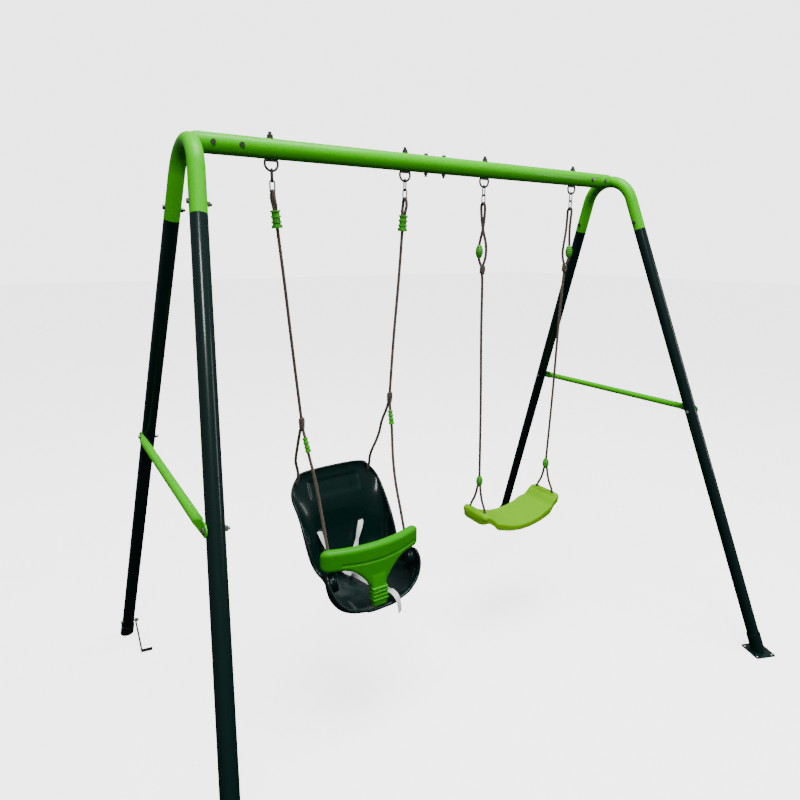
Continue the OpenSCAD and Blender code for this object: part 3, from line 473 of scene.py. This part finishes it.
def main_route(k):
    """From the adjuster up round the chain link and down to the joining knot."""
    top = SIGN[k] * HANGER_GAP / 2
    return [
        (main_x(k, ADJ_Z + 2), -5.4, ADJ_Z + 2),
        (main_x(k, ADJ_Z + 22), -5.8, ADJ_Z + 22),
        (main_x(k, EYE_Z - 42), -9.5, EYE_Z - 42),
        (top, -11, EYE_Z - 22), (top, -8.5, EYE_Z - 7), (top, -4.5, EYE_Z - 1.5),
        (top, 0, EYE_Z),
        (top, 4.5, EYE_Z - 1.5), (top, 8.5, EYE_Z - 7), (top, 11, EYE_Z - 22),
        (main_x(k, EYE_Z - 42), 9.5, EYE_Z - 42),
        (main_x(k, ADJ_Z + 22), 5.6, ADJ_Z + 22),
        (main_x(k, ADJ_Z + 4), 4.8, ADJ_Z + 4),
        (main_x(k, ADJ_Z - 14), 0, ADJ_Z - 14),
        (main_x(k, ADJ_Z - 30), 0, ADJ_Z - 30),
        (main_x(k, 1500), -1.5, 1500), (main_x(k, 1300), 1.5, 1300),
        (KNOT_TOP[k][0], 0, KNOT_TOP[k][2] - 8)]


def front_route(k):
    """From the joining knot through the front adjuster and the bar to the seat."""
    s = SIGN[k]
    low = KNOT_LOW[k]
    return [
        (low[0], low[1] - 2, low[2] + 8),
        (CLIP_TOP[k][0], CLIP_TOP[k][1], CLIP_TOP[k][2] + 4),
        (CLIP_LOW[k][0], CLIP_LOW[k][1], CLIP_LOW[k][2] - 6),
        (s * 152, -48, 880), (s * BAR_ROPE_X, slide_y(800), 800),
        (s * BAR_ROPE_X, slide_y(700), 700), (s * BAR_ROPE_X, slide_y(545), 545)]


REAR_ROUTES = [
    [(-168, 4, 1040), (-170, 16, 1010), (-172, 34, 960), (-173, 52, 905), (-166, 62, 880),
     (-158, 76, 862), (-150, 92, 838), (-146, 106, 810), (-145, 122, 788)],
    [(168, 4, 1082), (166, 16, 1050), (156, 34, 1000), (153, 50, 950), (148, 64, 915),
     (138, 76, 880), (138, 92, 850), (142, 106, 815), (145, 122, 788)]]

for k, side in enumerate(SIDES):
    rope(f"main_rope_{side}", "baby_swing", moved(main_route(k), BABY_X),
         [f"baby_rope_{side}"])
    rope(f"bar_rope_{side}", "baby_swing", moved(front_route(k), BABY_X),
         [f"front_rope_{side}"])
    rope(f"back_rope_{side}", "baby_swing", moved(REAR_ROUTES[k], BABY_X),
         [f"rear_rope_{side}"])

knots = []
for k in (0, 1):
    top, low = np.array(KNOT_TOP[k], float), np.array(KNOT_LOW[k], float)
    centre = (top + low) / 2 + [BABY_X, 0, 0]
    knots.append(knot_coil(centre, top - low, *JOIN_KNOT))
    s = SIGN[k]
    knots.append(knot_coil((BABY_X + s * BAR_ROPE_X, slide_y(STOP_Z), STOP_Z),
                           (0, SLOPE, 1), *STOP_KNOT))
    knots.append(knot_coil((BABY_X + s * REAR_STOP[0], *REAR_STOP[1:]),
                           (0, -math.sin(REAR_STOP_LEAN), 0.5), *STOP_KNOT))
knot_piece = merged("baby_knot_wraps", knots, ROPE)
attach(knot_piece, "baby_swing")
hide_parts("baby_knots")

# ------------------------------------------------------------------ board swing ropes

SPLIT_Z = 678
SPLIT_DX = 192
BOARD_KNOT_Z = 1530
EGG_Z = 1587


def board_x_at(k, z):
    """Where the board's rope is between its eye and its splitter."""
    return SIGN[k] * (HANGER_GAP / 2 + (SPLIT_DX - HANGER_GAP / 2) * (EYE_Z - z) / (EYE_Z - SPLIT_Z))


def strand(x, r, a, z):
    """A point at angle a and distance r from an upright line at x."""
    return (x + r * math.cos(math.radians(a)), r * math.sin(math.radians(a)), z)


def board_route(k):
    """From the knot up through the egg adjuster, round the link and down to the splitter."""
    top = SIGN[k] * HANGER_GAP / 2
    far = (-213, -33)[k]
    mid = (-123, -60)[k]
    x = board_x_at(k, 1600)
    return [
        strand(x, 5, far, BOARD_KNOT_Z + 10), strand(x, 12, far, EGG_Z - 26),
        strand(x, 15, far, EGG_Z),
        strand(x, 12, far, EGG_Z + 30), strand(board_x_at(k, 1675), 7, mid, 1675),
        strand(board_x_at(k, 1720), 10, -95, 1720), strand(top, 9, -90, EYE_Z - 8),
        strand(top, 4.5, -90, EYE_Z - 1.5), (top, 0, EYE_Z), strand(top, 4.5, 90, EYE_Z - 1.5),
        strand(top, 9, 90, EYE_Z - 8), strand(board_x_at(k, 1720), 10, 85, 1720),
        strand(board_x_at(k, 1675), 7, mid + 180, 1675), strand(x, 11, far + 180, EGG_Z + 30),
        strand(x, 13, far + 180, EGG_Z), strand(x, 10, far + 180, EGG_Z - 26),
        (x, 0, BOARD_KNOT_Z - 4), (board_x_at(k, 1490), 0, 1490),
        (board_x_at(k, 1300), 1.5, 1300), (board_x_at(k, 1000), -1.5, 1000),
        (board_x_at(k, SPLIT_Z + 10), 0, SPLIT_Z + 10)]


HOLE_X = 196
HOLE_Y = 47
BOARD_H = 548
SAG = 70
BOARD_T = 27
BOARD_R = (HOLE_X ** 2 + SAG ** 2) / (2 * SAG)
BOARD_UNDER = BOARD_H - SAG + BOARD_R - math.sqrt((BOARD_R + BOARD_T) ** 2 - HOLE_X ** 2)
# From the splitter to the hole: [inwards, share of HOLE_Y, z]
SLING = [(-1, 0, SPLIT_Z - 14), (-1.5, 0.09, 652), (-2, 0.16, 634), (-3, 0.5, 600),
         (-3.5, 0.85, 570)]
SLING_APART = 5


def sling_route(k):
    """Down through one hole, under the board and up through the other."""
    s = SIGN[k]
    down = [(s * (SPLIT_DX - q[0]), -q[1] * HOLE_Y - (SLING_APART if i < 3 else 0), q[2])
            for i, q in enumerate(SLING)]
    up = [(x, -y, z) for x, y, z in down[::-1]]
    x = s * HOLE_X
    return down + [
        (x, -HOLE_Y, BOARD_H), (x, -HOLE_Y, BOARD_UNDER + 2), (x, -HOLE_Y + 7, BOARD_UNDER - 7),
        (x, HOLE_Y - 7, BOARD_UNDER - 7), (x, HOLE_Y, BOARD_UNDER + 2), (x, HOLE_Y, BOARD_H)] + up


board_knots = []
for k, side in enumerate(SIDES):
    rope(f"long_rope_{side}", "board_swing", moved(board_route(k), BOARD_X),
         [f"board_rope_{side}"])
    rope(f"sling_rope_{side}", "board_swing", moved(sling_route(k), BOARD_X),
         [f"board_sling_{side}"])
    board_knots.append(knot_coil(
        (BOARD_X + board_x_at(k, BOARD_KNOT_Z), 0, BOARD_KNOT_Z - 6), (0.02, 0, 1), *BOARD_KNOT))
board_knot_piece = merged("board_knot_wraps", board_knots, ROPE)
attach(board_knot_piece, "board_swing")
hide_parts("board_knots")

# ------------------------------------------------------------------ baby seat

# For each station: the middle of the inside [y, z], then the rim [x, y, z]
STATIONS = np.array([
    [136, 824, 134, 128, 812], [130, 794, 158, 116, 784], [112, 755, 172, 92, 750],
    [92, 700, 171, 46, 706], [80, 640, 170, 4, 653], [70, 590, 168, -28, 602],
    [56, 540, 162, -54, 554], [30, 492, 152, -80, 534], [-10, 458, 147, -106, 546],
    [-60, 440, 154, -136, 568], [-110, 434, 169, -166, 573], [-150, 433, 170, -190, 540],
    [-182, 433, 149, -205, 494], [-204, 437, 108, -214, 460], [-220, 440, 57, -221, 448]], float)
SEAT_WALL = 5
RIM_R = 5.2
ACROSS = 34
ALONG = 7
PANEL_DEEP = 4.0
HOLLOW_DEEP = 3.5
WALL_SUNK = 2.5
PILLAR_Z = 550
SLOT_AT = (86, 74, 616)


def dense_stations():
    """More stations, on a smooth curve through the ones above."""
    n = len(STATIONS)
    t = np.linspace(0, n - 1, (n - 1) * ALONG + 1)
    out = []
    for u in t:
        i = min(int(u), n - 2)
        f = u - i
        p0, p1 = STATIONS[max(i - 1, 0)], STATIONS[i]
        p2, p3 = STATIONS[i + 1], STATIONS[min(i + 2, n - 1)]
        out.append(0.5 * (2 * p1 + (p2 - p0) * f + (2 * p0 - 5 * p1 + 4 * p2 - p3) * f * f
                          + (3 * p1 - p0 - 3 * p2 + p3) * f ** 3))
    return np.array(out)


def seat_inside():
    """The seat's inner surface as a grid of points, rim to rim at each station."""
    rows = []
    for s in dense_stations():
        row = []
        for j in range(-ACROSS, ACROSS + 1):
            a = math.radians(90 * abs(j) / ACROSS)
            f = math.sin(a) ** 0.75
            g = 1 - max(math.cos(a), 0) ** 0.8
            row.append([math.copysign(1, j) * s[2] * f if j else 0.0,
                        s[0] + (s[3] - s[0]) * g, s[1] + (s[4] - s[1]) * g])
        rows.append(row)
    return np.array(rows)


def grid_normals(g):
    """Unit normals of a grid of points, out of the seat."""
    a = np.gradient(g, axis=0)
    b = np.gradient(g, axis=1)
    n = np.cross(b, a)
    return n / np.linalg.norm(n, axis=2)[:, :, None]


def make_baby_seat():
    """The bucket: a wall with a rolled rim, a back panel and two pillars for the ropes."""
    g = seat_inside()
    n = grid_normals(g)
    sunk = np.zeros(g.shape[:2])
    for i in range(g.shape[0]):
        for j in range(g.shape[1]):
            x, y, z = g[i, j]
            panel = bump_step(x, -96, 96, 7) * bump_step(z, 735, 782, 7) if y > 60 else 0
            hollow = bump_step(x, -72, 72, 10) * bump_step(y, -196, -132, 10) if z < 470 else 0
            sunk[i, j] = PANEL_DEEP * panel + HOLLOW_DEEP * hollow
    inner = g + n * sunk[:, :, None]
    outer = g + n * (SEAT_WALL + np.minimum(sunk, WALL_SUNK))[:, :, None]
    shell = closed_shell("shell", inner * MM, outer * MM, SEAT)
    middle = (g + outer) / 2
    edge = np.vstack([middle[0], middle[1:, -1], middle[-1, ::-1][1:], middle[::-1, 0][1:-1]])
    closed = np.vstack([edge[-3:], edge, edge[:3]])
    rim = new_mesh("rim", *skin(tube_rings(smooth_path(closed[::3], 5), RIM_R, 12)), SEAT)
    parts = [shell, rim]
    tilt = -math.atan(SLOPE)
    for side in (-1, 1):
        x, z = side * BAR_ROPE_X, PILLAR_Z
        parts.append(add_cylinder(14, 60, (x, slide_y(z), z), tilt, 32))
        parts.append(add_block((18, 24, 44), (x + side * 9, slide_y(z - 6), z - 6), tilt))
    bpy.context.view_layer.update()
    seat = join("bucket_seat", parts, SEAT)
    seat.location = (BABY_X * MM, 0, 0)
    bpy.context.view_layer.update()
    seat.data.transform(seat.matrix_world)
    seat.matrix_world = Matrix.Identity(4)
    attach(seat, "baby_swing")
    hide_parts("baby_seat")


make_baby_seat()

# Painted shade: dark closed rings stand for the shadowed slots where the shoulder straps come
# through the back
for s, side in zip(SIGN, SIDES):
    rings = [[((BABY_X + s * SLOT_AT[0] + 15 * math.cos(a)) * MM, (SLOT_AT[1] + f * 6) * MM,
               (SLOT_AT[2] + 3.4 * math.sin(a)) * MM) for a in circle(16)] for f in SIGN]
    slot_shade_ring = new_mesh(f"strap_slot_shade_{side}", *skin(rings), CAP)
    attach(slot_shade_ring, "baby_swing")

# ------------------------------------------------------------------ webbing


def ribbon(name, points, across, width, thick=1.5):
    """A strap along the points; across gives its width's direction from end to end."""
    q = smooth_path(moved(points, BABY_X), 4)
    t = np.gradient(q, axis=0)
    t /= np.linalg.norm(t, axis=1)[:, None]
    s = np.linspace(0, 1, len(q))
    keys = np.linspace(0, 1, len(across))
    a = np.stack([np.interp(s, keys, [v[k] for v in across]) for k in range(3)], 1)
    a -= (a * t).sum(1)[:, None] * t
    a /= np.linalg.norm(a, axis=1)[:, None]
    n = np.cross(t, a)
    rings = []
    for i in range(len(q)):
        ring = [q[i] + a[i] * width / 2 * f + n[i] * thick / 2 for f in np.linspace(-1, 1, 7)]
        ring += [q[i] + a[i] * width / 2 * f - n[i] * thick / 2 for f in np.linspace(1, -1, 7)]
        rings.append([p * MM for p in ring])
    obj = new_mesh(name, *skin(rings), WEB)
    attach(obj, "baby_swing")
    return obj


STRAP_W = 19
TAIL_W = 21
ribbon("shoulder_strap_left",
       [(-88, 84, 616), (-88, 70, 614), (-88, 58, 604), (-84, 44, 582), (-72, 28, 545),
        (-54, 10, 508), (-32, -12, 480), (-12, -32, 468)],
       [(1, 0.1, 0), (0.9, 0.5, 0), (0.4, 0.9, 0.2), (0.2, 0.9, 0.5), (0.2, 0.5, 0.9)], STRAP_W)
ribbon("shoulder_strap_right",
       [(82, 84, 616), (82, 70, 615), (72, 54, 604), (54, 40, 575), (38, 26, 545),
        (22, 8, 508), (4, -14, 480), (-6, -32, 469)],
       [(1, 0.1, 0), (0.9, -0.5, 0.1), (0.1, -1, 0.4), (0.9, -0.3, 0.2), (0.2, -1, 0.1),
        (0.4, -0.6, 0.7)], STRAP_W)
tail_strap = ribbon("crotch_strap",
                    [(-14, -30, 469), (6, -52, 461), (28, -92, 453), (46, -140, 455),
                     (50, -178, 464), (51, -206, 470), (53, -228, 464), (56, -239, 440),
                     (58, -242, 410)],
                    [(0.3, -0.6, 0.7), (0.6, 0.3, 0.7), (1, 0.1, 0.1), (1, 0.3, 0.1),
                     (0.8, 0.5, 0)], TAIL_W)
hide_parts("baby_straps")

# ------------------------------------------------------------------ safety bar

BAR_HALF = 185
BAR_MID_Z = 625
BAR_MID_Y = -185
BAR_SWEEP = 42
BAR_HALF_H = 37
BAR_HALF_T = 17
BAR_CORNER = 14
END_ROUND = 26
FILLET_X = 128
FILLET_DROP = 78
# The post's sections from its top down: height, width, thickness and place along Y
POST = ((590, 62, 26, -187), (556, 60, 26, -189), (540, 58, 26, -192),
        (518, 56, 26, -195), (480, 54, 25, -200), (444, 53, 26, -204))
POST_CORNER = 8
RIBS_Z = (466, 479, 492, 505)
RIB = (60, 29, 6)
GROOVE_R = 5.8


def bar_y(x):
    """The bar's centre line, swept back to its ends."""
    return BAR_MID_Y + BAR_SWEEP * (x / BAR_HALF) ** 2


def bar_ring(x):
    """A section of the bar, deeper towards the middle where it runs into the post."""
    e = (BAR_HALF - abs(x)) / END_ROUND
    k = 1 if e >= 1 else math.sqrt(max(0.02, 1 - (1 - e) ** 2))
    slope = 2 * BAR_SWEEP * x / BAR_HALF ** 2
    n = np.array([-slope, 1]) / math.hypot(slope, 1)
    drop = FILLET_DROP * min(1, max(0, (FILLET_X - abs(x)) / 100)) ** 2.3
    half_h = BAR_HALF_H * (0.42 + 0.58 * k) + drop / 2
    return [np.array([x + n[0] * t, bar_y(x) + n[1] * t, BAR_MID_Z - drop / 2 + z]) * MM
            for t, z in rounded_rectangle(BAR_HALF_T * k, half_h, BAR_CORNER * k)]


def make_safety_bar():
    """The bar with its post, grip ribs, front groove and rope holes."""
    sections = [bar_ring(x) for x in np.linspace(-BAR_HALF, BAR_HALF, 111)]
    bar = new_mesh("bar", *skin(sections), BAR)
    rings = [[np.array([a, y + b, z]) * MM for a, b in rounded_rectangle(w / 2, t / 2, POST_CORNER)]
             for z, w, t, y in POST]
    post = new_mesh("post", *skin(rings), BAR)
    ribs = [add_block(RIB, (0, BAR_MID_Y - (BAR_MID_Z - z) * 19 / 168 - 1.5, z)) for z in RIBS_Z]
    bpy.context.view_layer.update()
    piece = join("bar_body", [bar, post] + ribs, BAR)
    melt(piece, 4)
    groove = np.array([(x, bar_y(x) - 18.8, 606 + 8 * (x / 150) ** 2)
                       for x in np.linspace(-126, 166, 34)])
    cutters = [new_mesh("groove", *skin(tube_rings(groove, GROOVE_R, 16)), BAR)]
    for s in SIGN:
        cutters.append(add_cylinder(5.2, 200, (s * BAR_ROPE_X, slide_y(BAR_MID_Z), BAR_MID_Z),
                                    -math.atan(SLOPE)))
    cut_away(piece, cutters, BAR, crossing=True)
    place(piece, BABY_X, BAR)
    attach(piece, "safety_bar")
    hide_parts("safety_bar")


make_safety_bar()

# ------------------------------------------------------------------ board seat


BOARD_END = 220
BOARD_HALF_W = 89
END_R = 36
EDGE_R = 9.0
EDGE_T = 26.5
SKIRT = 7
ROLL_AT = (201, 537)
ROLL_R = (18, 18.5)
ROLL_HALF = 76
ROLL_ROUND = 20


def board_half_width(x):
    """The board is widest under the sitter and narrows to its rounded ends."""
    a = abs(x)
    w = BOARD_HALF_W - 8 * blend01(a, 120, 178)
    end = BOARD_END - a
    if end < END_R:
        w = w - END_R + math.sqrt(max(0.0, END_R ** 2 - (END_R - end) ** 2))
    return max(w, 6)


def board_top(x):
    """Height of the sagging upper face, with a dip before each end's raised roll."""
    a = abs(x)
    z = BOARD_H - SAG + SAG * (min(a, HOLE_X) / HOLE_X) ** 2.1
    if a > HOLE_X:
        z -= 0.020 * (a - HOLE_X) ** 2
    return z + (4.5 * blend01(a, 158, 178) - 5.0 * math.exp(-((a - 150) / 14) ** 2))


def board_rows(x, shares):
    """The upper and lower points across the board at x."""
    w = board_half_width(x)
    top, low = [], []
    for f in shares:
        y = f * w
        edge = min(w - abs(y), BOARD_END - abs(x))
        drop = EDGE_R - math.sqrt(max(0, EDGE_R * EDGE_R - (EDGE_R - min(edge, EDGE_R)) ** 2))
        lip = 2.2 * bump_step(w - abs(y), 3, 12, 5) if abs(x) < 150 else 0
        top.append(np.array([x, y, board_top(x) - drop + lip - 1.0]) * MM)
        inset = blend01(edge, 5, 8) * 15
        under = EDGE_T + SKIRT * blend01(abs(x), 40, 165)
        low.append(np.array([x, y, board_top(x) - under + inset]) * MM)
    return top, low


def board_roll(s):
    """The thick roll across one end of the board, with rounded ends."""
    rings = []
    for f in np.linspace(-1, 1, 25):
        k = math.sqrt(max(0.03, 1 - max(0, (abs(f) * ROLL_HALF - (ROLL_HALF - ROLL_ROUND))
                                        / ROLL_ROUND) ** 2))
        rings.append([np.array([s * (ROLL_AT[0] + 1.5 * (1 - k)) + ROLL_R[0] * k * math.cos(a),
                                f * ROLL_HALF, ROLL_AT[1] + ROLL_R[1] * k * math.sin(a)]) * MM
                      for a in circle(28)])
    return new_mesh("roll", *skin(rings), BOARD)


def make_board():
    """The board seat: a sagging sheet with a skirt, an end roll each side and rope holes."""
    xs = np.concatenate([np.linspace(-220, -180, 22), np.linspace(-176, 176, 100),
                         np.linspace(180, 220, 22)])
    edge = [0.86, 0.92, 0.96, 0.985, 1]
    shares = [-f for f in edge[::-1]] + list(np.linspace(-0.78, 0.78, 17)) + edge
    top, low = zip(*[board_rows(x, shares) for x in xs])
    sheet = closed_shell("board_sheet", top, low, BOARD)
    board = join("board_body", [sheet] + [board_roll(s) for s in SIGN], BOARD)
    melt(board, 6)
    holes = [add_cylinder(6.8, 200, (sx * HOLE_X, sy * HOLE_Y, 530)) for sx in SIGN for sy in SIGN]
    cut_away(board, holes, BOARD)
    place(board, BOARD_X, BOARD)
    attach(board, "board_swing")
    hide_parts("board_seat")


make_board()

# ------------------------------------------------------------------ studio

BACKDROP_GLOW = 3.6
ROOM_GLOW = 0.42
ROOM_LOW, ROOM_HIGH = (0.25, 0.05), (0.85, 0.95)
FLOOR_GLOW = 2.9
FLOOR_HALF = 30
FLOOR_Z = -0.0015
# Name, place, where it points, size and power of each area light
LIGHTS = [
    ("key", (-2.2, -4.2, 4.8), (0, 0, 1.0), (1.0, 1.0), 150),
    ("fill", (4.2, -3.4, 2.2), (0, 0, 0.9), (0.5, 2.4), 45),
    ("top", (0, -0.6, 5.4), (0, 0, 1.0), (3.4, 2.2), 420),
]


def make_world():
    """A plain pale backdrop, and a room that lights the object more from above."""
    world = bpy.data.worlds.new("studio")
    bpy.context.scene.world = world
    world.use_nodes = True
    nt = world.node_tree
    back = nt.nodes["Background"]
    out = nt.nodes["World Output"]
    back.inputs["Color"].default_value = (1, 1, 1, 1)
    back.inputs["Strength"].default_value = BACKDROP_GLOW
    room = nt.nodes.new("ShaderNodeBackground")
    room.inputs["Strength"].default_value = ROOM_GLOW
    where = nt.nodes.new("ShaderNodeTexCoord")
    split = nt.nodes.new("ShaderNodeSeparateXYZ")
    ramp = nt.nodes.new("ShaderNodeValToRGB")
    for stop, (at, grey) in zip(ramp.color_ramp.elements, (ROOM_LOW, ROOM_HIGH)):
        stop.position = at
        stop.color = (grey, grey, grey, 1)
    shift = nt.nodes.new("ShaderNodeMath")
    shift.operation = "MULTIPLY_ADD"
    shift.inputs[1].default_value = 0.5
    shift.inputs[2].default_value = 0.5
    rays = nt.nodes.new("ShaderNodeLightPath")
    mix = nt.nodes.new("ShaderNodeMixShader")
    nt.links.new(where.outputs["Generated"], split.inputs["Vector"])
    nt.links.new(split.outputs["Z"], shift.inputs[0])
    nt.links.new(shift.outputs["Value"], ramp.inputs["Fac"])
    nt.links.new(ramp.outputs["Color"], room.inputs["Color"])
    nt.links.new(rays.outputs["Is Camera Ray"], mix.inputs["Fac"])
    nt.links.new(room.outputs["Background"], mix.inputs[1])
    nt.links.new(back.outputs["Background"], mix.inputs[2])
    nt.links.new(mix.outputs["Shader"], out.inputs["Surface"])


def make_floor():
    """A plain pale floor that takes soft shadows and doesn't light the object from below."""
    h = FLOOR_HALF
    paint = material("floor", (0.80, 0.80, 0.79), 0.9, mottle=0.01, spec=0.0)
    floor = new_mesh("floor", [(-h, -h, 0), (h, -h, 0), (h, h, 0), (-h, h, 0)],
                     [(0, 1, 2, 3)], paint, smooth=False)
    b = paint.node_tree.nodes["Principled BSDF"]
    b.inputs["Emission Color"].default_value = (1, 1, 1, 1)
    b.inputs["Emission Strength"].default_value = FLOOR_GLOW
    floor.location.z = FLOOR_Z
    floor.visible_diffuse = False
    floor.visible_glossy = False


def area_light(name, at, towards, size, power):
    """A rectangular light that points at a place."""
    data = bpy.data.lights.new(name, "AREA")
    data.shape = "RECTANGLE"
    data.size, data.size_y = size
    data.energy = power
    light = bpy.data.objects.new(name, data)
    light.location = at
    light.rotation_euler = (Vector(towards) - Vector(at)).to_track_quat("-Z", "Y").to_euler()
    bpy.context.scene.collection.objects.link(light)


make_world()
make_floor()
for light in LIGHTS:
    area_light(*light)
